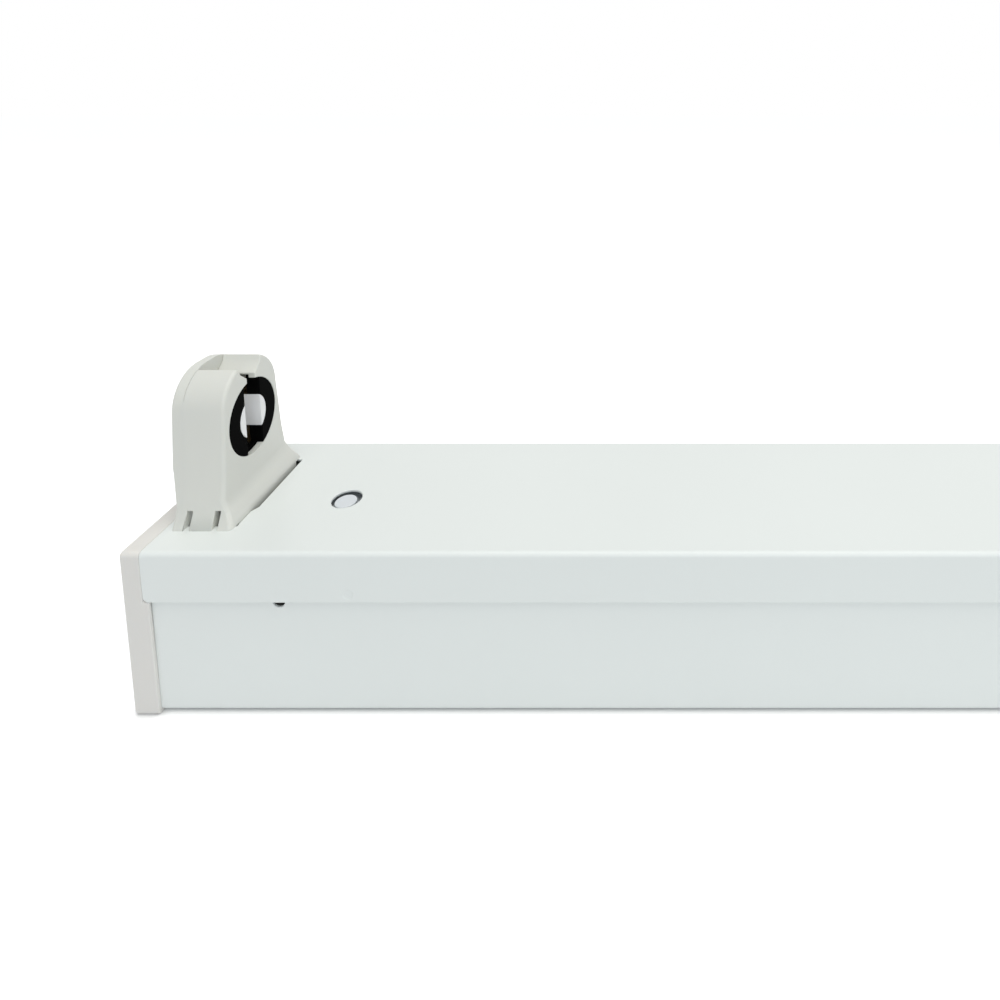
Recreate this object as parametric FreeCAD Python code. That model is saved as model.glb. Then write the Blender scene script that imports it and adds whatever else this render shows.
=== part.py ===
import FreeCAD, Part
import math
import os

# Open batten fitting for one 600 mm T8 tube: a folded steel channel with a
# folded cover tray over it, a plastic cap on each end, and two rotary
# lampholders that stand up through the cover. All sizes in millimetres.
# +X runs along the batten, -Y is its front, +Z points away from the ceiling
# side. The origin is in the middle of the underside, on the plane that the
# lips of the end caps touch.

# Tube and overall layout
tube_face_gap = 590.8        # between the faces of the two lampholders
holder_setback = 5.9         # from the end of the fitting to a lampholder's back
cover_width = 41.4
cover_top_z = 36.8
flange_height = 10.9

# Folded sheet
channel_sheet = 0.6
cover_sheet = 0.6
bend_radius = 1.0            # outside radius of every fold
channel_side_gap = 0.2       # between a channel side and the cover's flange
channel_top_gap = 0.2        # between the channel's top and the cover
channel_return = 4.0         # inward lip along the top of each channel side
flange_corner_radius = 1.2

# End caps
cap_plate = 1.6
cap_collar = 4.1             # length of the cap beside the cover
cap_skirt = 5.3              # length of the cap below the cover's flange
cap_lip = 0.4                # how far the cap reaches under the channel
cap_fit = 0.05
cap_corner_radius = 1.0
cap_edge_radius = 0.7
cap_tongue_thickness = 1.2
cap_tongue_length = 9.0
cap_tongue_foot = 6.0        # above the channel's floor
cap_tongue_height = 20.0

# Lampholders, heights above the cover
holder_thickness = 10.4
holder_height = 32.1
holder_axis_below_top = 13.65
holder_foot_half = 14.2
holder_waist_half = 12.6
holder_waist_height = 3.0
holder_body_half = 11.1
holder_body_height = 11.0
holder_crown_half = 9.2
holder_crown_radius = 8.7
back_bulge = 1.2             # how far the back plate stands out behind its own foot
back_bulge_from = 4.0        # the bulge begins at this height and is full at the next
back_bulge_full = 12.0
holder_flare = 2.5           # how far the foot stands out past the face, at the cover
flare_low_reach = 2.1
flare_low_height = 1.3
flare_middle_reach = 1.1
flare_middle_height = 3.2
flare_height = 5.4
skirt_depth = 1.6            # the flare goes on down through the cover by this
skirt_end_gap = 0.9          # the skirt is this much narrower than the neck on each side
holder_wall = 1.0
holder_face_wall = 1.6
holder_back_wall = 1.4
chamber_depth_below_axis = 11.0
crown_gap = 0.2              # between the rotor's flange and the solid crown over it
holder_slot_width = 3.0      # the pins' slot above the rotor
slot_mouth_half = 4.6        # it widens to this at the top
slot_mouth_step_half = 3.6
slot_mouth_step_depth = 2.2
slot_mouth_depth = 3.9
neck_face_inset = 0.9        # the neck's face lies this far behind the body's
neck_half = 12.4
neck_length = 12.0
neck_fit = 0.15
cutout_face_gap = 1.1        # from the skirt to the edge of the cover's hole
cutout_wide_from = 6.2       # the hole has that gap from here, before the middle, to its far end
cutout_slant = 1.6
hook_reach = 1.1
hook_height = 2.2
hook_gap = 0.1
tongue_slit = 1.2
tongue_width = 4.8
tongue_from_back = 6.2       # middle of the tongue, from the lampholder's back
tongue_slit_height = 3.4
tongue_thickness = 1.2
tongue_relief = 0.8

# Rotors
pin_circle_diameter = 12.7
pin_diameter = 2.4
pin_length = 7.1
slot_width = 5.6             # a rotor's slot
rotor_radius = 8.6
rotor_core_radius = 4.8
rotor_flange_radius = 9.1
rotor_flange_thickness = 1.5
rotor_fit = 0.05
pin_tip_gap = 0.4            # between a tube pin's tip and the bottom of the core's slot
slot_end_gap = 0.25
pivot_radius = 2.0
pivot_length = 1.0
pivot_end_gap = 0.1

# Spring contacts and leads
contact_thickness = 0.4
contact_width = 3.2
contact_rotor_gap = 0.7
contact_pin_gap = 0.05
contact_rise = 5.5           # above the rotor's axis
contact_flare = 0.6
contact_foot = 3.0           # above the neck's lower end
contact_fit = 0.05
lead_diameter = 1.9
lead_hole_fit = 0.15
lead_hole_depth = 7.0
lead_insertion = 6.4
lead_floor_gap = 0.8         # the clips hold the leads this far above the floor
lead_wall_gap = 2.6
lead_bend_radius = 7.0
lead_turn_back_radius = 3.4
lead_straight = 7.0          # from the block to a lead's first bend
lead_drop_run = 14.0         # length over which a lead goes down to the floor
lead_end_run = 15.0          # length over which it comes in to the lampholder

# What holds the cover: a button that locates each end, and dimples that snap in
button_from_end = 38.5
button_y = -3.9
button_radius = 2.4
button_top_depth = 0.15      # below the cover's surface
button_edge_radius = 0.2
button_hole_radius = 3.3
button_hole_offset = 0.6     # the hole's middle lies this far behind the button's
bridge_sheet = 0.8
bridge_width = 14.0
bridge_leg = 7.0
bridge_drop = 1.5            # below the channel's lips
snap_from_end = 46.0
snap_below_top = 9.1
snap_radius = 1.2
snap_tip_radius = 0.8
snap_entry = 0.3             # how far a dimple goes into its hole
snap_dent = 0.2
snap_fit = 0.3

# Channel holes
side_hole_radius = 1.25
side_hole_from_end = 31.4
side_hole_below_flange = 0.45
mounting_slot_pitch = 400.0
mounting_slot_width = 5.0
mounting_slot_length = 12.0
cable_entry_x = 36.0
cable_hole_radius = 7.0

# Cable grommet
grommet_bore_radius = 4.5
grommet_lip_radius = 9.2
grommet_fit = 0.05
grommet_inner_lip = 1.8

# Raised pads pressed up from the channel's floor
pad_height = 4.0
pad_slope = 2.5              # how much wider a pad is at its foot
terminal_pad_radius = 7.5
earth_pad_radius = 6.0

# Terminal block
terminal_x = -6.0
terminal_poles = 3
terminal_lead_gap = 0.1      # between the block and a lead that passes it
terminal_depth = 17.0
terminal_height = 12.0
terminal_corner_radius = 0.8
terminal_end_wall = 1.6
terminal_bore_radius = 1.9
terminal_bore_height = 4.4
terminal_insert_radius = 1.8
terminal_insert_length = 13.0
terminal_insert_bore = 1.15
terminal_lead_insertion = 5.5
terminal_screw_radius = 1.25
terminal_screw_head_radius = 1.6
terminal_screw_spacing = 7.6
terminal_screw_well_radius = 2.0
terminal_screw_head_height = 1.8
terminal_screw_neck = 2.2    # between the tube's top and the head
terminal_fixing_radius = 1.2
terminal_fixing_head_radius = 2.4
terminal_fixing_head_height = 1.6
terminal_fixing_sink = 3.0
terminal_fixing_tip = 3.0    # how far the screw goes below the pad's top

# Earth point
earth_x = -44.0
earth_screw_radius = 2.0
earth_screw_head_radius = 3.6
earth_screw_head_height = 2.2
earth_screw_head_round = 1.0
earth_screw_recess = 2.2     # reach of the cross from the screw's axis
earth_screw_tip_gap = 0.4    # left above the underside
washer_radius = 4.2
washer_thickness = 0.5
washer_teeth = 12
washer_notch_radius = 0.5
tag_radius = 4.4
tag_thickness = 0.8
tag_barrel_length = 6.0
tag_barrel_wall = 0.5
tag_barrel_fit = 0.02
tag_neck = 1.0               # between the ring and the barrel

# Lead clips
clip_count = 3
clip_first_x = 85.0
clip_pitch = 80.0
clip_length = 7.0
clip_width = 4.6
clip_height = 4.2
clip_mouth = 1.3
clip_fit = 0.02

# Screw threads and the slots and crosses in screw heads
thread_fit = 0.02
recess_width = 0.9
recess_depth = 0.8

# Worked out from the sizes above
half_length = tube_face_gap / 2 + holder_thickness + holder_setback
channel_bottom_z = cap_lip
floor_z = channel_bottom_z + channel_sheet
channel_half = cover_width / 2 - cover_sheet - channel_side_gap
channel_inner_half = channel_half - channel_sheet
channel_top_z = cover_top_z - cover_sheet - channel_top_gap
channel_end_x = half_length - cap_plate - cap_fit
cover_end_x = half_length - cap_collar - cap_fit
flange_bottom_z = cover_top_z - flange_height
holder_back_x = -half_length + holder_setback
holder_face_x = -tube_face_gap / 2
axis_z = cover_top_z + holder_height - holder_axis_below_top
neck_bottom_z = cover_top_z - neck_length
bridge_top_z = channel_top_z - channel_sheet - bridge_drop
button_top_z = cover_top_z - button_top_depth
button_x = -half_length + button_from_end
snap_z = cover_top_z - snap_below_top
contact_inner_y = pin_circle_diameter / 2 + pin_diameter / 2 + contact_pin_gap
lead_radius = lead_diameter / 2
lead_entry_y = contact_inner_y - lead_radius
lead_floor_z = floor_z + lead_radius + lead_floor_gap
lead_side_y = channel_inner_half - lead_wall_gap - lead_radius
pad_top_z = floor_z + pad_height
terminal_width = 2 * (lead_side_y - lead_radius - terminal_lead_gap)
terminal_pitch = (terminal_width - 2 * terminal_end_wall) / terminal_poles
terminal_bore_z = pad_top_z + terminal_bore_height


def vec(x, y, z):
    return FreeCAD.Vector(x, y, z)


def box(low, high):
    size = [b - a for a, b in zip(low, high)]
    return Part.makeBox(*size, vec(*low))


def rod(radius, start, end):
    """A cylinder from one point to another."""
    way = vec(*end) - vec(*start)
    return Part.makeCylinder(radius, way.Length, vec(*start), way)


def joined(shapes):
    whole = shapes[0]
    if len(shapes) > 1:
        whole = whole.fuse(shapes[1:])
    return whole.removeSplitter()


def rounded_face(corners, place):
    """A flat face from (a, b, radius) corners; place turns (a, b) into a point."""
    edges = []
    ends = []
    count = len(corners)
    for i, (a, b, radius) in enumerate(corners):
        here = place(a, b)
        before = place(*corners[i - 1][:2])
        after = place(*corners[(i + 1) % count][:2])
        if radius == 0:
            ends.append((here, here, None))
            continue
        back = (before - here).normalize()
        on = (after - here).normalize()
        half_angle = back.getAngle(on) / 2
        run = radius / math.tan(half_angle)
        bisector = (back + on).normalize()
        middle = here + bisector * (radius / math.sin(half_angle) - radius)
        ends.append((here + back * run, here + on * run, middle))
    for i, (first, last, middle) in enumerate(ends):
        if middle is not None:
            edges.append(Part.Arc(first, middle, last).toShape())
        following = ends[(i + 1) % count][0]
        if last.distanceToPoint(following) > 1e-6:
            edges.append(Part.LineSegment(last, following).toShape())
    return Part.Face(Part.Wire(edges))


def along_x(corners, x_low, x_high):
    """A section drawn in Y and Z, drawn out along X."""
    face = rounded_face(corners, lambda y, z: vec(x_low, y, z))
    return face.extrude(vec(x_high - x_low, 0, 0))


def along_y(corners, y_low, y_high):
    """An outline drawn in X and Z, drawn out along Y."""
    face = rounded_face(corners, lambda x, z: vec(x, y_low, z))
    return face.extrude(vec(0, y_high - y_low, 0))


def turned_end_for_end(shape):
    """The same piece at the other end of the batten."""
    copy = shape.copy()
    copy.rotate(vec(0, 0, 0), vec(0, 0, 1), 180)
    return copy


def both_sides(shape):
    """The piece and its mirror image on the other side of the X-Z plane."""
    return [shape, shape.mirror(vec(0, 0, 0), vec(0, 1, 0))]


def floor_pad(x, top_radius):
    """The metal of a raised pad, and the hollow under it."""
    foot_radius = top_radius + pad_slope
    t = channel_sheet
    solid = Part.makeCone(foot_radius, top_radius, pad_height, vec(x, 0, floor_z))
    solid = solid.fuse(rod(foot_radius, (x, 0, channel_bottom_z), (x, 0, floor_z)))
    hollow = Part.makeCone(foot_radius - t, top_radius - t, pad_height, vec(x, 0, channel_bottom_z))
    return solid, hollow


def base_channel():
    """Steel channel: floor, two sides and an inward lip along the top of each."""
    t = channel_sheet
    inner_bend = bend_radius - t
    h, g = channel_half, channel_inner_half
    low, top = channel_bottom_z, channel_top_z
    lip = h - channel_return
    section = [
        (-h, low, bend_radius), (h, low, bend_radius), (h, top, bend_radius), (lip, top, 0),
        (lip, top - t, 0), (g, top - t, inner_bend), (g, low + t, inner_bend),
        (-g, low + t, inner_bend), (-g, top - t, inner_bend), (-lip, top - t, 0),
        (-lip, top, 0), (-h, top, bend_radius),
    ]
    channel = along_x(section, -channel_end_x, channel_end_x)
    for x, top_radius in ((terminal_x, terminal_pad_radius), (earth_x, earth_pad_radius)):
        solid, hollow = floor_pad(x, top_radius)
        channel = channel.fuse(solid).cut(hollow)
    screws = [(x, y, terminal_fixing_radius) for x, y in fixing_screw_places()]
    for x, y, radius in screws + [(earth_x, 0, earth_screw_radius)]:
        channel = channel.cut(rod(radius + thread_fit, (x, y, low), (x, y, pad_top_z)))
    channel = channel.cut(rod(cable_hole_radius, (cable_entry_x, 0, 0),
                              (cable_entry_x, 0, floor_z)))
    hole_z = flange_bottom_z - side_hole_below_flange
    for end in (-1, 1):
        hole_x = end * (half_length - side_hole_from_end)
        channel = channel.cut(rod(side_hole_radius, (hole_x, -h, hole_z), (hole_x, h, hole_z)))
        channel = channel.cut(mounting_slot(end * mounting_slot_pitch / 2))
        snap_x = end * (half_length - snap_from_end)
        channel = channel.cut(rod(snap_radius + snap_fit, (snap_x, -h, snap_z), (snap_x, h, snap_z)))
    return channel.removeSplitter()


def mounting_slot(x):
    """A round-ended slot through the floor for a ceiling screw."""
    radius = mounting_slot_width / 2
    reach = mounting_slot_length / 2 - radius
    bar = box((x - reach, -radius, 0), (x + reach, radius, floor_z))
    ends = [rod(radius, (x + s * reach, 0, 0), (x + s * reach, 0, floor_z)) for s in (-1, 1)]
    return joined([bar] + ends)


def cover_tray():
    """Steel cover: flat top with a flange folded down along each side."""
    t = cover_sheet
    inner_bend = bend_radius - t
    h, g = cover_width / 2, cover_width / 2 - t
    section = [
        (-h, flange_bottom_z, 0), (-g, flange_bottom_z, 0), (-g, cover_top_z - t, inner_bend),
        (g, cover_top_z - t, inner_bend), (g, flange_bottom_z, 0), (h, flange_bottom_z, 0),
        (h, cover_top_z, bend_radius), (-h, cover_top_z, bend_radius),
    ]
    cover = along_x(section, -cover_end_x, cover_end_x)
    r = flange_corner_radius
    trimmed = along_y([
        (-cover_end_x, flange_bottom_z, r), (cover_end_x, flange_bottom_z, r),
        (cover_end_x, cover_top_z, 0), (-cover_end_x, cover_top_z, 0)], -h, h)
    cover = cover.common(trimmed)
    hole_y = button_y + button_hole_offset
    button_hole = rod(button_hole_radius, (button_x, hole_y, cover_top_z - t),
                      (button_x, hole_y, cover_top_z))
    cover = cover.cut(button_hole).cut(turned_end_for_end(button_hole))
    bump, dent = snap_dimple()
    for x_end in (bump, turned_end_for_end(bump)):
        cover = cover.fuse(both_sides(x_end))
    for x_end in (dent, turned_end_for_end(dent)):
        for cutter in both_sides(x_end):
            cover = cover.cut(cutter)
    cover = cover.cut(holder_cutout()).cut(turned_end_for_end(holder_cutout()))
    return cover.removeSplitter()


def snap_dimple():
    """A dimple pressed into the rear flange at the left end: its bump inside and its dent."""
    x = -half_length + snap_from_end
    inner = cover_width / 2 - cover_sheet
    reach = channel_side_gap + snap_entry
    bump = Part.makeCone(snap_radius, snap_tip_radius, reach, vec(x, inner, snap_z), vec(0, -1, 0))
    dent = Part.makeCone(snap_radius, snap_tip_radius, snap_dent,
                         vec(x, cover_width / 2, snap_z), vec(0, -1, 0))
    return bump, dent


def holder_cutout():
    """The hole in the cover that a lampholder's neck and skirt pass, narrower at one end."""
    y = neck_half + neck_fit
    back, foot = holder_back_x + holder_back_wall - neck_fit, holder_face_x + holder_flare
    edge = foot + cutout_face_gap
    outline = rounded_face([(back, -y, 0), (foot + neck_fit, -y, 0),
                            (foot + neck_fit, -cutout_wide_from - cutout_slant, 0),
                            (edge, -cutout_wide_from, 0), (edge, y, 0), (back, y, 0)],
                           lambda x, y: vec(x, y, cover_top_z - cover_sheet))
    return outline.extrude(vec(0, 0, cover_sheet))


def end_cap():
    """Plastic cap on the left end: a plate, a skirt round the channel and two inner tongues."""
    h, end = cover_width / 2, -half_length
    r = cap_corner_radius
    outside = along_x([(-h, 0, r), (h, 0, r), (h, cover_top_z, r), (-h, cover_top_z, r)],
                      end, end + cap_skirt)
    rim = [e for e in outside.Edges if abs(e.CenterOfMass.x - end) < 1e-6]
    outside = outside.makeFillet(cap_edge_radius, rim)
    y = channel_half + cap_fit
    top = channel_top_z + cap_fit
    inner_bend = bend_radius
    pocket = along_x([(-y, cap_lip, inner_bend), (y, cap_lip, inner_bend),
                      (y, top, inner_bend), (-y, top, inner_bend)],
                     end + cap_plate, end + cap_skirt)
    cover_seat = box((end + cap_collar, -h, flange_bottom_z - cap_fit),
                     (end + cap_skirt, h, cover_top_z))
    cap = outside.cut(pocket).cut(cover_seat)
    tongue_y = channel_inner_half - cap_fit
    tongue_z = floor_z + cap_tongue_foot
    tongue = box((end + cap_plate, tongue_y - cap_tongue_thickness, tongue_z),
                 (end + cap_tongue_length, tongue_y, tongue_z + cap_tongue_height))
    return joined([cap] + both_sides(tongue))


def holder_outline(inset, bottom_z):
    """The lampholder's outline seen along the tube, drawn in by inset."""
    top = cover_top_z + holder_height - inset
    halves = [
        (holder_foot_half - inset, bottom_z, 0),
        (holder_waist_half - inset, cover_top_z + holder_waist_height, 0),
        (holder_body_half - inset, cover_top_z + holder_body_height, 0),
        (holder_crown_half - inset, top, holder_crown_radius - inset),
    ]
    return [(-y, z, r) for y, z, r in halves] + [(y, z, r) for y, z, r in reversed(halves)]


def flare_profile():
    """Points (out past the face, up from the cover) of the foot's flare on the tube's side."""
    return [(0, 0), (holder_flare, 0), (flare_low_reach, flare_low_height),
            (flare_middle_reach, flare_middle_height), (0, flare_height)]


def skirt():
    """The part of the flare that goes on down through the cover, in front of the neck."""
    front, rear = holder_face_x + holder_flare, holder_face_x - neck_face_inset
    half = neck_half - skirt_end_gap
    return along_y([(rear, cover_top_z, 0), (front, cover_top_z, 0),
                    (front, cover_top_z - skirt_depth, 0),
                    (rear, cover_top_z - skirt_depth - (front - rear), 0)], -half, half)


def holder_housing():
    """Moulded body of the left lampholder, open at its back."""
    back, face = holder_back_x + holder_back_wall, holder_face_x
    body = along_x(holder_outline(0, cover_top_z), back, face)
    flare = along_x(holder_outline(0, cover_top_z), face, face + holder_flare)
    flare = flare.common(along_y([(face + out, cover_top_z + up, 0) for out, up in flare_profile()],
                                 -holder_foot_half, holder_foot_half))
    neck = box((back, -neck_half, neck_bottom_z),
               (face - neck_face_inset, neck_half, cover_top_z))
    housing = joined([body, flare, neck, skirt()] + both_sides(snap_hook()))
    chamber_floor = axis_z - chamber_depth_below_axis
    chamber = along_x(holder_outline(holder_wall, cover_top_z), back, face - holder_face_wall)
    chamber = chamber.common(box((back, -holder_foot_half, chamber_floor),
                                 (face, holder_foot_half, axis_z + rotor_flange_radius + crown_gap)))
    housing = housing.cut(chamber)
    housing = housing.cut(rod(rotor_radius + rotor_fit, (face - holder_face_wall, 0, axis_z),
                              (face, 0, axis_z)))
    top, half = cover_top_z + holder_height, holder_slot_width / 2
    slot = box((back, -half, axis_z), (face, half, top))
    rear_side = [(half, top - slot_mouth_depth, 0),
                 (slot_mouth_step_half, top - slot_mouth_step_depth, 0), (slot_mouth_half, top, 0)]
    front_side = [(-y, z, r) for y, z, r in reversed(rear_side)]
    mouth = along_x(front_side + rear_side, back, face)
    housing = housing.cut(slot).cut(mouth)
    for cutter in both_sides(contact_and_lead_slots(chamber_floor)) + both_sides(tongue_slits()):
        housing = housing.cut(cutter)
    return housing.removeSplitter()


def tongue_middle_x():
    return holder_back_x + tongue_from_back


def snap_hook():
    """The hook on the rear side of the neck that catches under the cover."""
    top = cover_top_z - cover_sheet - hook_gap
    low_x = tongue_middle_x() - tongue_width / 2
    profile = rounded_face([(neck_half, top, 0), (neck_half + hook_reach, top, 0),
                            (neck_half + hook_reach, top - hook_height / 3, 0),
                            (neck_half, top - hook_height, 0)],
                           lambda y, z: vec(low_x, y, z))
    return profile.extrude(vec(tongue_width, 0, 0))


def tongue_slits():
    """The two slits and the gap behind that free the springy tongue in the foot's rear side."""
    middle = tongue_middle_x()
    inner, outer = tongue_width / 2, tongue_width / 2 + tongue_slit
    y_low = neck_half - tongue_thickness
    y_high = holder_foot_half
    top = cover_top_z + tongue_slit_height
    left = box((middle - outer, y_low, neck_bottom_z), (middle - inner, y_high, top))
    right = box((middle + inner, y_low, neck_bottom_z), (middle + outer, y_high, top))
    behind = box((middle - outer, y_low - tongue_relief, neck_bottom_z), (middle + outer, y_low, top))
    return left.fuse([right, behind])


def contact_and_lead_slots(chamber_floor):
    """The narrow slot that holds a contact, and the hole for its lead."""
    x_low, x_high = contact_x_range()
    y = contact_inner_y
    slot = box((x_low - contact_fit, y - contact_fit, neck_bottom_z + contact_foot - contact_fit),
               (x_high + contact_fit, y + contact_thickness + contact_fit, chamber_floor))
    x = (x_low + x_high) / 2
    hole = rod(lead_radius + lead_hole_fit, (x, lead_entry_y, neck_bottom_z),
               (x, lead_entry_y, neck_bottom_z + lead_hole_depth))
    return slot.fuse(hole)


def contact_x_range():
    """Where the contacts lie along X in the left lampholder."""
    high = holder_face_x - holder_face_wall - rotor_fit - rotor_flange_thickness - contact_rotor_gap
    return high - contact_width, high


def spring_contact():
    """Bronze strip of the left lampholder, on its rear side: it flares out at the top."""
    x_low, x_high = contact_x_range()
    y, t = contact_inner_y, contact_thickness
    foot = neck_bottom_z + contact_foot
    tip = axis_z + contact_rise
    bend = axis_z + contact_rise / 2
    strip = along_x([(y, foot, 0), (y + t, foot, 0), (y + t, bend, 0),
                     (y + contact_flare + t, tip, 0), (y + contact_flare, tip, 0),
                     (y, bend, 0)], x_low, x_high)
    return strip.removeSplitter()


def holder_back():
    """Moulded plate that closes the back of the left lampholder, with the rotor's pivot hole."""
    back, front = holder_back_x, holder_back_x + holder_back_wall
    plate = along_x(holder_outline(0, cover_top_z), back - back_bulge, front)
    low, full = cover_top_z + back_bulge_from, cover_top_z + back_bulge_full
    beyond = back - 2 * back_bulge
    under = along_y([(beyond, cover_top_z - 1, 0), (back, cover_top_z - 1, 0), (back, low, 0),
                     (back - back_bulge, full, 0), (beyond, full, 0)],
                    -holder_foot_half - 1, holder_foot_half + 1)
    plate = plate.cut(under)
    pivot = rod(pivot_radius + rotor_fit, (front - pivot_length - pivot_end_gap, 0, axis_z),
                (front, 0, axis_z))
    return plate.cut(pivot).removeSplitter()


def rotor_slot(x_low, x_high, z_low, z_high):
    return box((x_low, -slot_width / 2, z_low), (x_high, slot_width / 2, z_high))


def rotor_ring():
    """Black outer ring of the left rotor, with its slot upright at rest."""
    face = holder_face_x
    step = face - holder_face_wall - rotor_fit
    rear = step - rotor_flange_thickness
    ring = rod(rotor_radius, (rear, 0, axis_z), (face, 0, axis_z))
    ring = ring.fuse(rod(rotor_flange_radius, (rear, 0, axis_z), (step, 0, axis_z)))
    ring = ring.cut(rod(rotor_core_radius, (rear, 0, axis_z), (face, 0, axis_z)))
    pin_reach = pin_circle_diameter / 2 + pin_diameter / 2 + slot_end_gap
    ring = ring.cut(rotor_slot(rear, face, axis_z - pin_reach, axis_z + rotor_flange_radius))
    ring = ring.cut(rotor_slot(step, face, axis_z - rotor_flange_radius, axis_z))
    return ring.removeSplitter()


def rotor_core():
    """White core of the left rotor: it turns on a pivot in the back plate."""
    face = holder_face_x
    rear = holder_back_x + holder_back_wall + pivot_end_gap
    core = rod(rotor_core_radius, (rear, 0, axis_z), (face, 0, axis_z))
    core = core.cut(rotor_slot(face - pin_length - pin_tip_gap, face,
                               axis_z - rotor_core_radius, axis_z + rotor_core_radius))
    pivot_tip = holder_back_x + holder_back_wall - pivot_length
    return core.fuse(rod(pivot_radius, (pivot_tip, 0, axis_z), (rear, 0, axis_z))).removeSplitter()


def cover_bridge():
    """Strip across the left end of the channel: its pressed-up button locates the cover."""
    t = bridge_sheet
    y = channel_inner_half
    low = bridge_top_z - bridge_leg
    r = bend_radius
    section = [
        (-y, low, 0), (-y + t, low, 0), (-y + t, bridge_top_z - t, r - t),
        (y - t, bridge_top_z - t, r - t), (y - t, low, 0), (y, low, 0),
        (y, bridge_top_z, r), (-y, bridge_top_z, r),
    ]
    half = bridge_width / 2
    strip = along_x(section, button_x - half, button_x + half)
    button = rod(button_radius, (button_x, button_y, bridge_top_z), (button_x, button_y, button_top_z))
    rim = [e for e in button.Edges if abs(e.CenterOfMass.z - button_top_z) < 1e-6]
    button = button.makeFillet(button_edge_radius, rim)
    hollow = rod(button_radius - t, (button_x, button_y, bridge_top_z - t),
                 (button_x, button_y, button_top_z - t))
    return strip.fuse(button).cut(hollow).removeSplitter()


def cable_grommet():
    """Rubber ring in the channel's cable hole."""
    x = cable_entry_x
    top = floor_z + grommet_inner_lip
    lower = rod(grommet_lip_radius, (x, 0, 0), (x, 0, channel_bottom_z))
    waist = rod(cable_hole_radius - grommet_fit, (x, 0, 0), (x, 0, top))
    upper = Part.makeCone(grommet_lip_radius, grommet_lip_radius - grommet_inner_lip,
                          grommet_inner_lip, vec(x, 0, floor_z))
    bore = rod(grommet_bore_radius, (x, 0, 0), (x, 0, top))
    return joined([lower, waist, upper]).cut(bore)


def pole_places():
    middle = (terminal_poles - 1) / 2
    return [(i - middle) * terminal_pitch for i in range(terminal_poles)]


def clamp_screw_places():
    return [(terminal_x + s * terminal_screw_spacing / 2, y) for y in pole_places() for s in (-1, 1)]


def fixing_screw_places():
    """The block's own screws go down between its poles."""
    return [(terminal_x, s * terminal_pitch / 2) for s in (-1, 1)]


def terminal_block():
    """Moulded three-pole block: a tube hole and two screw wells for each pole."""
    x, half_y, half_x = terminal_x, terminal_width / 2, terminal_depth / 2
    low, top = pad_top_z, pad_top_z + terminal_height
    block = box((x - half_x, -half_y, low), (x + half_x, half_y, top))
    upright = [e for e in block.Edges if abs(e.CenterOfMass.z - (low + top) / 2) < 1e-6]
    block = block.makeFillet(terminal_corner_radius, upright)
    for y in pole_places():
        block = block.cut(rod(terminal_bore_radius, (x - half_x, y, terminal_bore_z),
                              (x + half_x, y, terminal_bore_z)))
    for well_x, y in clamp_screw_places():
        block = block.cut(rod(terminal_screw_well_radius, (well_x, y, terminal_bore_z),
                              (well_x, y, top)))
    for screw_x, y in fixing_screw_places():
        seat = top - terminal_fixing_sink
        block = block.cut(rod(terminal_fixing_radius + thread_fit, (screw_x, y, low),
                              (screw_x, y, top)))
        block = block.cut(rod(terminal_fixing_head_radius + thread_fit, (screw_x, y, seat),
                              (screw_x, y, top)))
    return block.removeSplitter()


def terminal_tubes():
    """Brass tubes of the block, each with two threaded holes from above."""
    half = terminal_insert_length / 2
    x, z = terminal_x, terminal_bore_z
    tubes = []
    for y in pole_places():
        tube = rod(terminal_insert_radius, (x - half, y, z), (x + half, y, z))
        tube = tube.cut(rod(terminal_insert_bore, (x - half, y, z), (x + half, y, z)))
        for screw_x, screw_y in clamp_screw_places():
            if screw_y == y:
                tube = tube.cut(rod(terminal_screw_radius + thread_fit, (screw_x, y, z),
                                    (screw_x, y, z + terminal_insert_radius)))
        tubes.append(tube)
    return Part.makeCompound(tubes)


def slotted_screw(x, y, tip_z, seat_z, radius, head_radius, head_height):
    """A cheese-head screw with a straight slot, point down."""
    top = seat_z + head_height
    screw = rod(radius, (x, y, tip_z), (x, y, seat_z))
    screw = screw.fuse(rod(head_radius, (x, y, seat_z), (x, y, top)))
    slot = box((x - recess_width / 2, y - head_radius, top - recess_depth),
               (x + recess_width / 2, y + head_radius, top))
    return screw.cut(slot).removeSplitter()


def terminal_clamp_screws():
    seat = terminal_bore_z + terminal_insert_radius + terminal_screw_neck
    tip = terminal_bore_z + lead_radius
    return Part.makeCompound([
        slotted_screw(x, y, tip, seat, terminal_screw_radius, terminal_screw_head_radius,
                      terminal_screw_head_height) for x, y in clamp_screw_places()])


def terminal_fixing_screws():
    seat = pad_top_z + terminal_height - terminal_fixing_sink
    tip = pad_top_z - terminal_fixing_tip
    return Part.makeCompound([
        slotted_screw(x, y, tip, seat, terminal_fixing_radius, terminal_fixing_head_radius,
                      terminal_fixing_head_height) for x, y in fixing_screw_places()])


def earth_screw():
    """Pan-head screw in the earth pad: its tip stays above the channel's underside."""
    seat = pad_top_z + tag_thickness + washer_thickness
    top = seat + earth_screw_head_height
    head = rod(earth_screw_head_radius, (earth_x, 0, seat), (earth_x, 0, top))
    rim = [e for e in head.Edges if abs(e.CenterOfMass.z - top) < 1e-6]
    head = head.makeFillet(earth_screw_head_round, rim)
    reach, half = earth_screw_recess, recess_width / 2
    for dx, dy in ((reach, half), (half, reach)):
        head = head.cut(box((earth_x - dx, -dy, top - recess_depth), (earth_x + dx, dy, top)))
    shank = rod(earth_screw_radius, (earth_x, 0, channel_bottom_z + earth_screw_tip_gap),
                (earth_x, 0, seat))
    return joined([head, shank])


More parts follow.
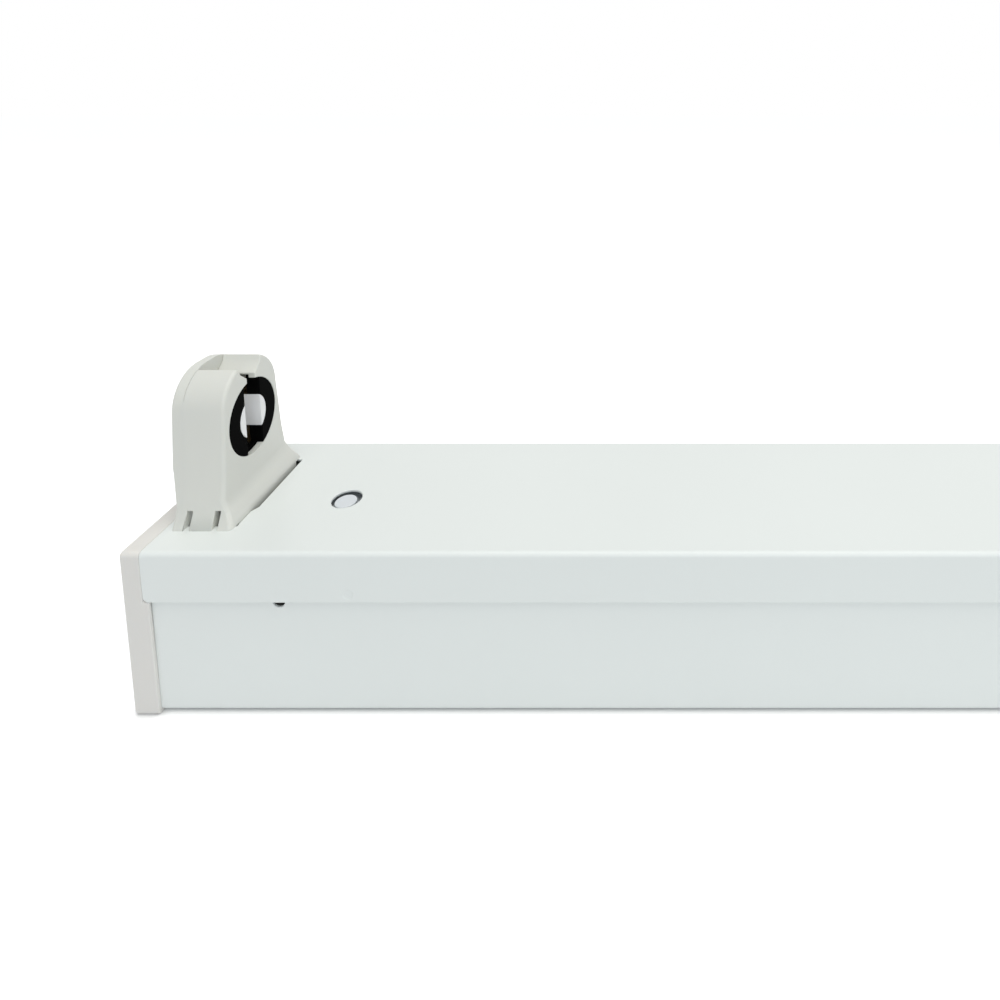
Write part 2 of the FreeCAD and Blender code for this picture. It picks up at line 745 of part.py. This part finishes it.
def earth_washer():
    """Toothed washer between the tag and the screw's head."""
    low = pad_top_z + tag_thickness
    washer = rod(washer_radius, (earth_x, 0, low), (earth_x, 0, low + washer_thickness))
    for i in range(washer_teeth):
        angle = 2 * math.pi * i / washer_teeth
        x = earth_x + washer_radius * math.cos(angle)
        y = washer_radius * math.sin(angle)
        washer = washer.cut(rod(washer_notch_radius, (x, y, low), (x, y, low + washer_thickness)))
    return washer.cut(rod(earth_screw_radius + thread_fit, (earth_x, 0, low),
                          (earth_x, 0, low + washer_thickness)))


def tag_barrel_start():
    return earth_x + tag_radius + tag_neck


def earth_tag():
    """Ring tag under the earth screw, with the barrel that is crimped on the earth lead."""
    outer = lead_radius + tag_barrel_wall
    z = pad_top_z + outer
    start = tag_barrel_start()
    end = start + tag_barrel_length
    ring = rod(tag_radius, (earth_x, 0, pad_top_z), (earth_x, 0, pad_top_z + tag_thickness))
    neck = box((earth_x, -outer, pad_top_z), (start + tag_neck, outer, pad_top_z + tag_thickness))
    tag = joined([ring, neck, rod(outer, (start, 0, z), (end, 0, z))])
    tag = tag.cut(rod(lead_radius + tag_barrel_fit, (start, 0, z), (end, 0, z)))
    return tag.cut(rod(earth_screw_radius + thread_fit, (earth_x, 0, pad_top_z),
                       (earth_x, 0, pad_top_z + tag_thickness)))


def lead(points, radii):
    """A round lead: straight runs joined by tangent arcs at its inner points."""
    pieces = []
    start = vec(*points[0])
    for i, radius in enumerate(radii, 1):
        corner, following = vec(*points[i]), vec(*points[i + 1])
        way_in = (corner - start).normalize()
        way_out = (following - corner).normalize()
        turn = way_in.getAngle(way_out)
        run = radius * math.tan(turn / 2)
        arc_start = corner - way_in * run
        arc_end = corner + way_out * run
        pieces.append(Part.makeCylinder(lead_radius, (arc_start - start).Length, start, way_in))
        axis = way_in.cross(way_out).normalize()
        centre = arc_start + axis.cross(way_in) * radius
        disc = Part.Face(Part.Wire(Part.makeCircle(lead_radius, arc_start, way_in)))
        pieces.append(disc.revolve(centre, axis, math.degrees(turn)))
        start = arc_end
    way = vec(*points[-1]) - start
    pieces.append(Part.makeCylinder(lead_radius, way.Length, start, way))
    return joined(pieces)


def lead_in_block(y):
    """The end of a lead inside the block, and the point of its first bend."""
    end = terminal_x - terminal_insert_length / 2 + terminal_lead_insertion
    bend = terminal_x - terminal_depth / 2 - lead_straight
    return (end, y, terminal_bore_z), (bend, y, terminal_bore_z)


def lead_into_holder(end, y_sign):
    """The last points of a lead: along the side, in to the lampholder and up its hole."""
    hole_x = -end * sum(contact_x_range()) / 2
    turn_in = hole_x - end * lead_end_run
    side = y_sign * lead_side_y
    entry = y_sign * lead_entry_y
    return [(turn_in, side, lead_floor_z), (hole_x, entry, lead_floor_z),
            (hole_x, entry, neck_bottom_z + lead_insertion)]


def live_lead():
    """Brown lead from the front pole to the left lampholder's front contact."""
    y = pole_places()[0]
    start, bend = lead_in_block(y)
    down = (bend[0] - lead_drop_run, -lead_side_y, lead_floor_z)
    points = [start, bend, down] + lead_into_holder(-1, -1)
    return lead(points, [lead_bend_radius] * (len(points) - 2))


def neutral_lead():
    """Blue lead from the rear pole: it turns back past the block to the right lampholder."""
    y = pole_places()[-1]
    start, bend = lead_in_block(y)
    side = (bend[0], lead_side_y, bend[2])
    level = (bend[0] + lead_drop_run / 2, lead_side_y, bend[2])
    down = (level[0] + lead_drop_run, lead_side_y, lead_floor_z)
    points = [start, bend, side, level, down] + lead_into_holder(1, 1)
    radii = [lead_turn_back_radius] * 2 + [lead_bend_radius] * (len(points) - 4)
    return lead(points, radii)


def earth_lead():
    """Green lead from the middle pole to the tag at the earth screw."""
    start, bend = lead_in_block(0)
    z = pad_top_z + lead_radius + tag_barrel_wall
    end = tag_barrel_start()
    down = (end + tag_barrel_length + tag_neck, 0, z)
    return lead([start, bend, down, (end, 0, z)], [lead_bend_radius] * 2)


def lead_clips():
    """Small moulded clips on the channel's floor, three along each long lead."""
    clips = []
    for end in (-1, 1):
        for i in range(clip_count):
            x = end * (clip_first_x + i * clip_pitch)
            y = end * lead_side_y
            half_x, half_y = clip_length / 2, clip_width / 2
            clip = box((x - half_x, y - half_y, floor_z), (x + half_x, y + half_y, floor_z + clip_height))
            groove = rod(lead_radius + clip_fit, (x - half_x, y, lead_floor_z),
                         (x + half_x, y, lead_floor_z))
            mouth = box((x - half_x, y - clip_mouth / 2, lead_floor_z),
                        (x + half_x, y + clip_mouth / 2, floor_z + clip_height))
            clips.append(clip.cut(groove).cut(mouth))
    return Part.makeCompound(clips)


def main():
    os.makedirs("parts", exist_ok=True)
    nodes = {}
    nodes["base_channel"] = base_channel()
    nodes["cover_tray"] = cover_tray()
    at_each_end = {
        "end_cap": end_cap(), "holder_housing": holder_housing(), "holder_back": holder_back(),
        "rotor_ring": rotor_ring(), "rotor_core": rotor_core(), "cover_bridge": cover_bridge(),
    }
    for name, shape in at_each_end.items():
        nodes[name + "_left"] = shape
        nodes[name + "_right"] = turned_end_for_end(shape)
    rear, front = both_sides(spring_contact())
    nodes["contact_rear_left"] = rear
    nodes["contact_front_left"] = front
    nodes["contact_front_right"] = turned_end_for_end(rear)
    nodes["contact_rear_right"] = turned_end_for_end(front)
    nodes["cable_grommet"] = cable_grommet()
    nodes["terminal_block"] = terminal_block()
    nodes["terminal_tubes"] = terminal_tubes()
    nodes["terminal_clamp_screws"] = terminal_clamp_screws()
    nodes["terminal_fixing_screws"] = terminal_fixing_screws()
    nodes["earth_screw"] = earth_screw()
    nodes["earth_washer"] = earth_washer()
    nodes["earth_tag"] = earth_tag()
    nodes["live_lead"] = live_lead()
    nodes["neutral_lead"] = neutral_lead()
    nodes["earth_lead"] = earth_lead()
    nodes["lead_clips"] = lead_clips()
    for name, shape in nodes.items():
        shape.exportStep("parts/" + name + ".step")
        print(name, shape.isValid(), len(shape.Solids), round(shape.Volume, 2))


main()
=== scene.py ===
from math import hypot, pi, radians

import bpy
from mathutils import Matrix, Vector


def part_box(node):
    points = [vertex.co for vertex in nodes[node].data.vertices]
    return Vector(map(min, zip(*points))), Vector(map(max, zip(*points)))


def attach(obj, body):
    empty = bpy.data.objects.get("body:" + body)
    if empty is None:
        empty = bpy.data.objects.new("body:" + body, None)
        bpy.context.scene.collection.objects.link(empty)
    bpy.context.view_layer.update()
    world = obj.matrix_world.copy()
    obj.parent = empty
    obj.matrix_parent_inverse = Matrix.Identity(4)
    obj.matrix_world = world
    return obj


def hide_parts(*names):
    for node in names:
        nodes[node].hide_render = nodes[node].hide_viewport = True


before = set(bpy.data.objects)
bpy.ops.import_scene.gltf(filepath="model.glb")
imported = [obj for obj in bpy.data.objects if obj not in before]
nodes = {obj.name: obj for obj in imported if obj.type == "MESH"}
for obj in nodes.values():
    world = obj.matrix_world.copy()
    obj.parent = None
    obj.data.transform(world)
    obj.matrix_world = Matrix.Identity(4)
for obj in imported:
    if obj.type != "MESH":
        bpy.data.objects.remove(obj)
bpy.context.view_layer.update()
scene = bpy.context.scene
scene.view_settings.view_transform = "Standard"
bpy.ops.object.select_all(action="DESELECT")

# The studio: a plain white table, an even white room, and two soft boxes.
# Camera, gloss and glass see table and room as white. The table takes the batten's real shadow,
# and its white glow is also darkened close under the batten as painted contact shade.
table_grey = 0.80
table_glow_strength = 0.66
# how far from the batten the painted contact shade reaches
painted_shade_reach = 0.0020
room_colour = (0.93, 0.965, 1.0)
room_strength = 0.45


def white_when_seen(tree):
    """1 for a ray that looks at the surface itself, 0 for one that only lights others."""
    rays = tree.nodes.new("ShaderNodeLightPath")
    seen = rays.outputs["Is Camera Ray"]
    for kind in ("Is Glossy Ray", "Is Transmission Ray"):
        either = tree.nodes.new("ShaderNodeMath")
        either.operation = "MAXIMUM"
        tree.links.new(seen, either.inputs[0])
        tree.links.new(rays.outputs[kind], either.inputs[1])
        seen = either.outputs[0]
    return seen


bpy.ops.mesh.primitive_plane_add(size=40.0, location=(0, 0, 0))
table = bpy.context.object
table.name = "table"
table_finish = bpy.data.materials.new("white_table")
table_finish.use_nodes = True
tree = table_finish.node_tree
tree.nodes.clear()
table_paint = tree.nodes.new("ShaderNodeBsdfDiffuse")
table_paint.inputs["Color"].default_value = (table_grey, table_grey, table_grey, 1)
table_glow = tree.nodes.new("ShaderNodeEmission")
glow_seen = tree.nodes.new("ShaderNodeMath")
glow_seen.operation = "MULTIPLY"
glow_seen.inputs[1].default_value = table_glow_strength
# Painted shade: the table's glow is darkened wherever the batten is near, by ambient occlusion.
painted_shade_nearness = tree.nodes.new("ShaderNodeAmbientOcclusion")
painted_shade_nearness.samples = 8
painted_shade_nearness.inputs["Distance"].default_value = painted_shade_reach
contact_shade = tree.nodes.new("ShaderNodeMapRange")
contact_shade.inputs["From Min"].default_value = 0.4
contact_shade.inputs["To Min"].default_value = 0.1
glow_less_painted_shade = tree.nodes.new("ShaderNodeMath")
glow_less_painted_shade.operation = "MULTIPLY"
table_both = tree.nodes.new("ShaderNodeAddShader")
table_out = tree.nodes.new("ShaderNodeOutputMaterial")
tree.links.new(white_when_seen(tree), glow_seen.inputs[0])
tree.links.new(glow_seen.outputs[0], glow_less_painted_shade.inputs[0])
tree.links.new(painted_shade_nearness.outputs["AO"], contact_shade.inputs["Value"])
tree.links.new(contact_shade.outputs["Result"], glow_less_painted_shade.inputs[1])
tree.links.new(glow_less_painted_shade.outputs[0], table_glow.inputs["Strength"])
tree.links.new(table_paint.outputs[0], table_both.inputs[0])
tree.links.new(table_glow.outputs[0], table_both.inputs[1])
tree.links.new(table_both.outputs[0], table_out.inputs["Surface"])
table.data.materials.append(table_finish)

room = bpy.data.worlds.new("white_room")
scene.world = room
room.use_nodes = True
tree = room.node_tree
tree.nodes.clear()
room_light = tree.nodes.new("ShaderNodeBackground")
room_light.inputs["Color"].default_value = room_colour + (1,)
room_light.inputs["Strength"].default_value = room_strength
room_seen = tree.nodes.new("ShaderNodeBackground")
room_seen.inputs["Color"].default_value = (1, 1, 1, 1)
room_mix = tree.nodes.new("ShaderNodeMixShader")
room_out = tree.nodes.new("ShaderNodeOutputWorld")
tree.links.new(white_when_seen(tree), room_mix.inputs["Fac"])
tree.links.new(room_light.outputs[0], room_mix.inputs[1])
tree.links.new(room_seen.outputs[0], room_mix.inputs[2])
tree.links.new(room_mix.outputs[0], room_out.inputs["Surface"])


def soft_box(name, place, degrees, width, height, watts, colour):
    """A rectangular lamp, turned by so many degrees about each axis."""
    bpy.ops.object.light_add(type="AREA", location=place,
                             rotation=[radians(turn) for turn in degrees])
    lamp = bpy.context.object
    lamp.name = name
    lamp.data.shape = "RECTANGLE"
    lamp.data.size = width
    lamp.data.size_y = height
    lamp.data.energy = watts
    lamp.data.color = colour


soft_box("soft_box_over", place=(0.02, -0.20, 1.15), degrees=(10, 3, 0),
         width=1.3, height=1.0, watts=8.25, colour=(1.0, 0.99, 0.93))
soft_box("soft_box_front", place=(0.20, -0.85, 0.42), degrees=(66, 0, 16),
         width=0.9, height=0.5, watts=1.70, colour=(0.80, 0.91, 1.0))

# The camera stands close in front of the left end and a little above it,
# and looks almost level: its shift puts that end at the picture's left.
left_end_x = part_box("end_cap_left")[0][0]
cover_top_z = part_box("cover_tray")[1][2]
camera_from_end = 0.101718
camera_in_front = 0.13244
camera_above_cover = 0.088456
camera_looks_down = 0.115
bpy.ops.object.camera_add(
    location=(left_end_x + camera_from_end, -camera_in_front, cover_top_z + camera_above_cover),
    rotation=(pi / 2 - camera_looks_down, 0, 0))
camera = bpy.context.object
camera.name = "photo_camera"
camera.data.lens = 21.6
camera.data.sensor_width = 36.0
camera.data.shift_x = -0.121
camera.data.shift_y = -0.318
camera.data.clip_start = 0.01
camera.data.clip_end = 80.0
scene.camera = camera

# The base channel is folded from 0.6 mm steel strip, punched, and powder
# coated white after folding, so its cut edges carry a soft round of paint.
# The coat has a fine orange peel and a faint cloudiness.
def new_finish(name):
    """A new material with its tree, its shader, and the places on the piece."""
    finish = bpy.data.materials.new(name)
    finish.use_nodes = True
    tree = finish.node_tree
    place = tree.nodes.new("ShaderNodeTexCoord")
    return finish, tree, tree.nodes["Principled BSDF"], place.outputs["Object"]


def patches(tree, place, scale, detail, distortion=0.0):
    """Soft irregular patches over the piece, from 0 to 1."""
    noise = tree.nodes.new("ShaderNodeTexNoise")
    noise.inputs["Scale"].default_value = scale
    noise.inputs["Detail"].default_value = detail
    noise.inputs["Distortion"].default_value = distortion
    tree.links.new(place, noise.inputs["Vector"])
    return noise.outputs["Fac"]


def two_shades(tree, skin, where, one, other):
    """Colours the skin from one shade to the other."""
    tint = tree.nodes.new("ShaderNodeMix")
    tint.data_type = "RGBA"
    tree.links.new(where, tint.inputs["Factor"])
    tint.inputs[6].default_value = one + (1,)
    tint.inputs[7].default_value = other + (1,)
    tree.links.new(tint.outputs[2], skin.inputs["Base Color"])


def uneven_gloss(tree, skin, where, smoothest, dullest):
    """Lets the roughness wander between two values."""
    gloss = tree.nodes.new("ShaderNodeMapRange")
    gloss.inputs["To Min"].default_value = smoothest
    gloss.inputs["To Max"].default_value = dullest
    tree.links.new(where, gloss.inputs["Value"])
    tree.links.new(gloss.outputs["Result"], skin.inputs["Roughness"])


def fine_relief(tree, skin, grain, strength, height):
    """Raises the grain by this height, in metres."""
    relief = tree.nodes.new("ShaderNodeBump")
    relief.inputs["Strength"].default_value = strength
    relief.inputs["Distance"].default_value = height
    tree.links.new(grain, relief.inputs["Height"])
    tree.links.new(relief.outputs["Normal"], skin.inputs["Normal"])


def powder_coat(name, colour, roughness):
    finish, tree, paint, place = new_finish(name)
    cloud = patches(tree, place, scale=16.0, detail=3.0)
    rubbed = patches(tree, place, scale=45.0, detail=5.0)
    orange_peel = patches(tree, place, scale=1100.0, detail=1.5)
    two_shades(tree, paint, cloud, tuple(c * 0.965 for c in colour),
               tuple(min(c * 1.015, 1) for c in colour))
    uneven_gloss(tree, paint, rubbed, roughness - 0.05, roughness + 0.07)
    fine_relief(tree, paint, orange_peel, strength=0.4, height=0.00004)
    paint.inputs["Coat Weight"].default_value = 0.15
    paint.inputs["Coat Roughness"].default_value = 0.25
    return finish


def dress(piece, finish):
    """Gives the whole piece this one finish."""
    piece.data.materials.clear()
    piece.data.materials.append(finish)
    for face in piece.data.polygons:
        face.material_index = 0


def only(piece):
    """Selects this piece alone and makes it the active one."""
    bpy.ops.object.select_all(action="DESELECT")
    piece.select_set(True)
    bpy.context.view_layer.objects.active = piece


def merged_copy(node, name):
    """A CAD node's mesh as a new piece, its triangles joined into whole faces."""
    piece = bpy.data.objects.new(name, nodes[node].data.copy())
    scene.collection.objects.link(piece)
    only(piece)
    bpy.ops.object.mode_set(mode="EDIT")
    bpy.ops.mesh.select_all(action="SELECT")
    bpy.ops.mesh.remove_doubles(threshold=0.000002)
    bpy.ops.mesh.dissolve_limited(angle_limit=radians(0.6))
    bpy.ops.mesh.select_all(action="DESELECT")
    bpy.ops.object.mode_set(mode="OBJECT")
    return piece


def round_edges(piece, radius, steps, sharper_than=35, chosen=lambda p: True):
    """Rounds the edges sharper than so many degrees whose middle point is chosen."""
    mesh = piece.data
    sides = {}
    for face in mesh.polygons:
        for key in face.edge_keys:
            sides.setdefault(key, []).append(face.normal)
    scene.tool_settings.mesh_select_mode = (False, True, False)
    for item in list(mesh.vertices) + list(mesh.polygons):
        item.select = False
    for edge in mesh.edges:
        normals = sides.get(edge.key, [])
        a, b = (mesh.vertices[i].co for i in edge.vertices)
        edge.select = (len(normals) == 2 and chosen((a + b) / 2)
                       and normals[0].angle(normals[1], 0) > radians(sharper_than))
    only(piece)
    bpy.ops.object.mode_set(mode="EDIT")
    bpy.ops.mesh.bevel(offset=radius, segments=steps, affect="EDGES", clamp_overlap=False)
    bpy.ops.mesh.select_all(action="DESELECT")
    bpy.ops.object.mode_set(mode="OBJECT")


def shade(piece):
    """Smooth across the rounds, while the wide flat faces stay flat."""
    only(piece)
    bpy.ops.object.shade_smooth_by_angle(angle=radians(40))
    bpy.ops.object.modifier_add(type="WEIGHTED_NORMAL")
    piece.modifiers[-1].keep_sharp = True
    bpy.ops.object.modifier_apply(modifier=piece.modifiers[-1].name)


white_steel = powder_coat("white_powder_coat", (0.855, 0.885, 0.865), 0.38)
paint_round = 0.00014
channel = merged_copy("base_channel", "channel")
round_edges(channel, paint_round, steps=2, sharper_than=50)
shade(channel)
dress(channel, white_steel)
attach(channel, "batten")
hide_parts("base_channel")

# The grommet is a black moulded rubber ring, pushed into the channel's cable
# hole from below. Its lips are full and round, and it has a dull bloom.
rubber, tree, skin, place = new_finish("black_rubber")
bloom = patches(tree, place, scale=260.0, detail=6.0)
two_shades(tree, skin, bloom, (0.022, 0.022, 0.023), (0.055, 0.054, 0.052))
uneven_gloss(tree, skin, bloom, 0.62, 0.82)
fine_relief(tree, skin, patches(tree, place, scale=4200.0, detail=2.0),
            strength=0.4, height=0.00003)
lip_round = 0.00028
grommet = merged_copy("cable_grommet", "grommet")
round_edges(grommet, lip_round, steps=3, sharper_than=40)
shade(grommet)
dress(grommet, rubber)
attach(grommet, "batten")
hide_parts("cable_grommet")

# The terminal block and the clips that hold the leads are moulded in natural
# nylon: milky, a little yellow, with the faint flow lines of the moulding.
def stretched(tree, place, scale):
    """The places on the piece, drawn out along the axes of a low scale."""
    stretch = tree.nodes.new("ShaderNodeMapping")
    stretch.inputs["Scale"].default_value = scale
    tree.links.new(place, stretch.inputs["Vector"])
    return stretch.outputs["Vector"]


def moulded(name, colour, roughness, grain, grain_height, flow=0.02, glow_depth=0.0, shine=0.5):
    """A plastic with upright flow lines, a fine grain, and light that soaks in if it glows."""
    finish, tree, skin, place = new_finish(name)
    flow_lines = patches(tree, stretched(tree, place, (1.0, 1.0, 0.22)),
                         scale=240.0, detail=4.0, distortion=0.6)
    two_shades(tree, skin, flow_lines, tuple(c * (1 - flow) for c in colour),
               tuple(min(c * (1 + flow), 1) for c in colour))
    uneven_gloss(tree, skin, flow_lines, roughness - 0.04, roughness + 0.08)
    fine_relief(tree, skin, patches(tree, place, scale=grain, detail=2.0),
                strength=0.5, height=grain_height)
    skin.inputs["Specular IOR Level"].default_value = shine
    if glow_depth:
        skin.inputs["Subsurface Weight"].default_value = 0.12
        skin.inputs["Subsurface Scale"].default_value = glow_depth
        skin.inputs["Subsurface Radius"].default_value = (1.0, 0.9, 0.75)
    return finish


natural_nylon = moulded("natural_nylon", (0.80, 0.79, 0.73), roughness=0.42, grain=1900.0,
                        grain_height=0.00001, flow=0.03, glow_depth=0.0008)
for node in ("terminal_block", "lead_clips"):
    dress(nodes[node], natural_nylon)

# The tubes inside the block and the ring tag are brass, bright from the press.
# The four spring contacts are tin bronze strip, coloured dark brown as painted shade for the dark
# inside of the lampholder.
def bare_metal(name, colour, dull_colour, roughness, grain_stretch):
    finish, tree, skin, place = new_finish(name)
    skin.inputs["Metallic"].default_value = 1.0
    tarnish = patches(tree, place, scale=320.0, detail=5.0)
    rolled = patches(tree, stretched(tree, place, grain_stretch), scale=1500.0, detail=3.0)
    two_shades(tree, skin, tarnish, colour, dull_colour)
    uneven_gloss(tree, skin, tarnish, roughness - 0.06, roughness + 0.16)
    fine_relief(tree, skin, rolled, strength=0.35, height=0.00001)
    return finish


rolled_upright = (1.0, 1.0, 0.06)
brass = bare_metal("pressed_brass", (0.80, 0.62, 0.33), (0.62, 0.46, 0.24), 0.30, rolled_upright)
for node in ("terminal_tubes", "earth_tag"):
    dress(nodes[node], brass)
# Painted shade: the contacts are coloured near black so they read as the shadow inside the
# lampholder.
painted_shade_bronze = bare_metal("spring_bronze_painted_shade", (0.20, 0.14, 0.08), (0.12, 0.085, 0.05), 0.42,
                    rolled_upright)
for end in ("left", "right"):
    for side in ("front", "rear"):
        dress(nodes["contact_%s_%s" % (side, end)], painted_shade_bronze)

# All screws and the toothed washer are steel with a bright zinc plate, which
# shows a fine turned grain and a slightly blue, cloudy shine.
turned_round = (1.0, 1.0, 5.0)
zinc = bare_metal("bright_zinc", (0.68, 0.70, 0.72), (0.55, 0.56, 0.58), 0.26, turned_round)
for node in ("terminal_clamp_screws", "terminal_fixing_screws", "earth_screw", "earth_washer"):
    dress(nodes[node], zinc)

# The leads are single wires with a smooth, slightly glossy PVC jacket: brown,
# blue, and green with one long yellow stripe.
def wire_jacket(name, colour):
    return moulded(name, colour, roughness=0.34, grain=2600.0, grain_height=0.000004, flow=0.05)


def add_stripe(jacket, stripe_colour, stripe_from=0.00025, stripe_full=0.00030):
    """Lays a stripe over the jacket where the piece's Y is past the given values."""
    tree = jacket.node_tree
    skin = tree.nodes["Principled BSDF"]
    ground = skin.inputs["Base Color"].links[0].from_socket
    place = tree.nodes.new("ShaderNodeTexCoord")
    split = tree.nodes.new("ShaderNodeSeparateXYZ")
    side = tree.nodes.new("ShaderNodeMapRange")
    side.inputs["From Min"].default_value = stripe_from
    side.inputs["From Max"].default_value = stripe_full
    striped = tree.nodes.new("ShaderNodeMix")
    striped.data_type = "RGBA"
    striped.inputs[7].default_value = stripe_colour + (1,)
    tree.links.new(place.outputs["Object"], split.inputs[0])
    tree.links.new(split.outputs["Y"], side.inputs["Value"])
    tree.links.new(side.outputs["Result"], striped.inputs["Factor"])
    tree.links.new(ground, striped.inputs[6])
    tree.links.new(striped.outputs[2], skin.inputs["Base Color"])


dress(nodes["live_lead"], wire_jacket("brown_jacket", (0.20, 0.085, 0.04)))
dress(nodes["neutral_lead"], wire_jacket("blue_jacket", (0.06, 0.20, 0.55)))
earth_jacket = wire_jacket("green_yellow_jacket", (0.05, 0.34, 0.11))
add_stripe(earth_jacket, (0.85, 0.72, 0.05))
dress(nodes["earth_lead"], earth_jacket)

# Under each round hole of the cover a strip bridges the channel, spot welded to its sides, with a
# thin coat painted greyer than the cover's as painted shade for the strip seen under the hole. Its
# pressed-up button locates the cover.
# Painted shade: the strip's coat is greyer than the cover's so the gap under the hole reads
# darker.
strip_coat_painted_shade = powder_coat("strip_coat_painted_shade", (0.74, 0.77, 0.80), 0.42)
strip_round = 0.00015
for end in ("left", "right"):
    strip = merged_copy("cover_bridge_" + end, "locating_strip_" + end)
    round_edges(strip, strip_round, steps=2, sharper_than=50)
    shade(strip)
    dress(strip, strip_coat_painted_shade)
    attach(strip, "batten")
    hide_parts("cover_bridge_" + end)

# The cover is a folded tray of the same coated steel. It drops over the
# channel, and the small dimples pressed in its flanges click into holes there.
cover = merged_copy("cover_tray", "cover")
round_edges(cover, paint_round, steps=2, sharper_than=50)
shade(cover)
dress(cover, white_steel)
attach(cover, "batten")
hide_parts("cover_tray")

# Each lampholder is a hollow moulding that clips into the cover from above.
# The narrow sides run round into the crown in a soft edge, and the slot for
# the tube's pins opens in a wide mouth at the top.
holder_plastic = moulded("holder_plastic", (0.745, 0.745, 0.695), roughness=0.34, grain=1500.0,
                         grain_height=0.000012, flow=0.018, glow_depth=0.0012)
core_low, core_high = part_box("rotor_core_left")
axis_z = (core_low[2] + core_high[2]) / 2
face_x = -core_high[0]
hair = 0.0001
above_cover_z = cover_top_z + hair
face_slack = 0.00001
side_round = 0.0009
small_round = 0.00015
rotor_rim = 0.0098
mouth_half = 0.0042
body_depth = 0.0088
crown_from_axis = 0.0080


def from_axis(p):
    return hypot(p.y, p.z - axis_z)


def face_outline(p):
    """The outer edge of the face, without the rotor's hole and the mouth."""
    return (abs(p.x) < face_x + face_slack and from_axis(p) > rotor_rim
            and abs(p.y) > mouth_half and p.z > above_cover_z)


def crown_or_body(p):
    """Above the cover: the crown, and all in front of the back plate."""
    return p.z > above_cover_z and (abs(p.x) < face_x + body_depth
                                    or p.z > axis_z + crown_from_axis)


for end in ("left", "right"):
    body = merged_copy("holder_housing_" + end, "lampholder_" + end)
    round_edges(body, side_round, steps=4, chosen=face_outline)
    round_edges(body, small_round, steps=2, sharper_than=40, chosen=crown_or_body)
    shade(body)
    dress(body, holder_plastic)
    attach(body, "batten")
    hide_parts("holder_housing_" + end)

# The back plate closes the lampholder behind the contacts. It is moulded in
# the same plastic and pressed in, so a fine joint shows all round.
back_round = 0.0007
joint_depth = 0.0008
pivot_clear = 0.005
for end in ("left", "right"):
    plate = merged_copy("holder_back_" + end, "lampholder_back_" + end)
    joint_x = min(abs(corner[0]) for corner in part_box("holder_back_" + end)) + joint_depth
    round_edges(plate, back_round, steps=4, chosen=lambda p: (
        abs(p.x) > joint_x and p.z > above_cover_z and from_axis(p) > pivot_clear))
    shade(plate)
    dress(plate, holder_plastic)
    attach(plate, "batten")
    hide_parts("holder_back_" + end)

# The rotor takes the tube's pins: a ring round a core, both cut through by
# the slot. The ring is moulded in a dull black, the core in a clear white.
rotor_black = moulded("rotor_black", (0.003, 0.003, 0.003), roughness=0.50, grain=1800.0,
                      grain_height=0.00001, flow=0.25, shine=0.006)
rotor_white = moulded("rotor_white", (0.94, 0.93, 0.93), roughness=0.36, grain=1800.0,
                      grain_height=0.00001, glow_depth=0.004)
ring_round = 0.00022
core_round = 0.00018
for end in ("left", "right"):
    for part, finish, slot_name, edge_round in (("ring", rotor_black, "rotor_black", ring_round),
                                                ("core", rotor_white, "holder_white", core_round)):
        node = "rotor_%s_%s" % (part, end)
        turning = merged_copy(node, "turning_%s_%s" % (part, end))
        round_edges(turning, edge_round, steps=2, sharper_than=40)
        shade(turning)
        dress(turning, finish)
        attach(turning, "rotor_" + end)
        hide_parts(node)

# The end caps are moulded in a warmer white with a fine satin grain. They
# push over the channel's ends and close the cover's ends too.
cap_plastic = moulded("cap_plastic", (0.81, 0.785, 0.75), roughness=0.46, grain=1300.0,
                      grain_height=0.00002, glow_depth=0.0012)
cap_half_width, cap_top_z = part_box("end_cap_left")[1][1:]
cap_round = 0.0003
rim = 0.0004


def cap_outside(p):
    """The rims along the cap's sides, underside and top."""
    return abs(p.y) > cap_half_width - rim or p.z < hair or p.z > cap_top_z - rim


for end in ("left", "right"):
    cap = merged_copy("end_cap_" + end, "cap_" + end)
    round_edges(cap, cap_round, steps=3, sharper_than=45, chosen=cap_outside)
    shade(cap)
    dress(cap, cap_plastic)
    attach(cap, "batten")
    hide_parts("end_cap_" + end)
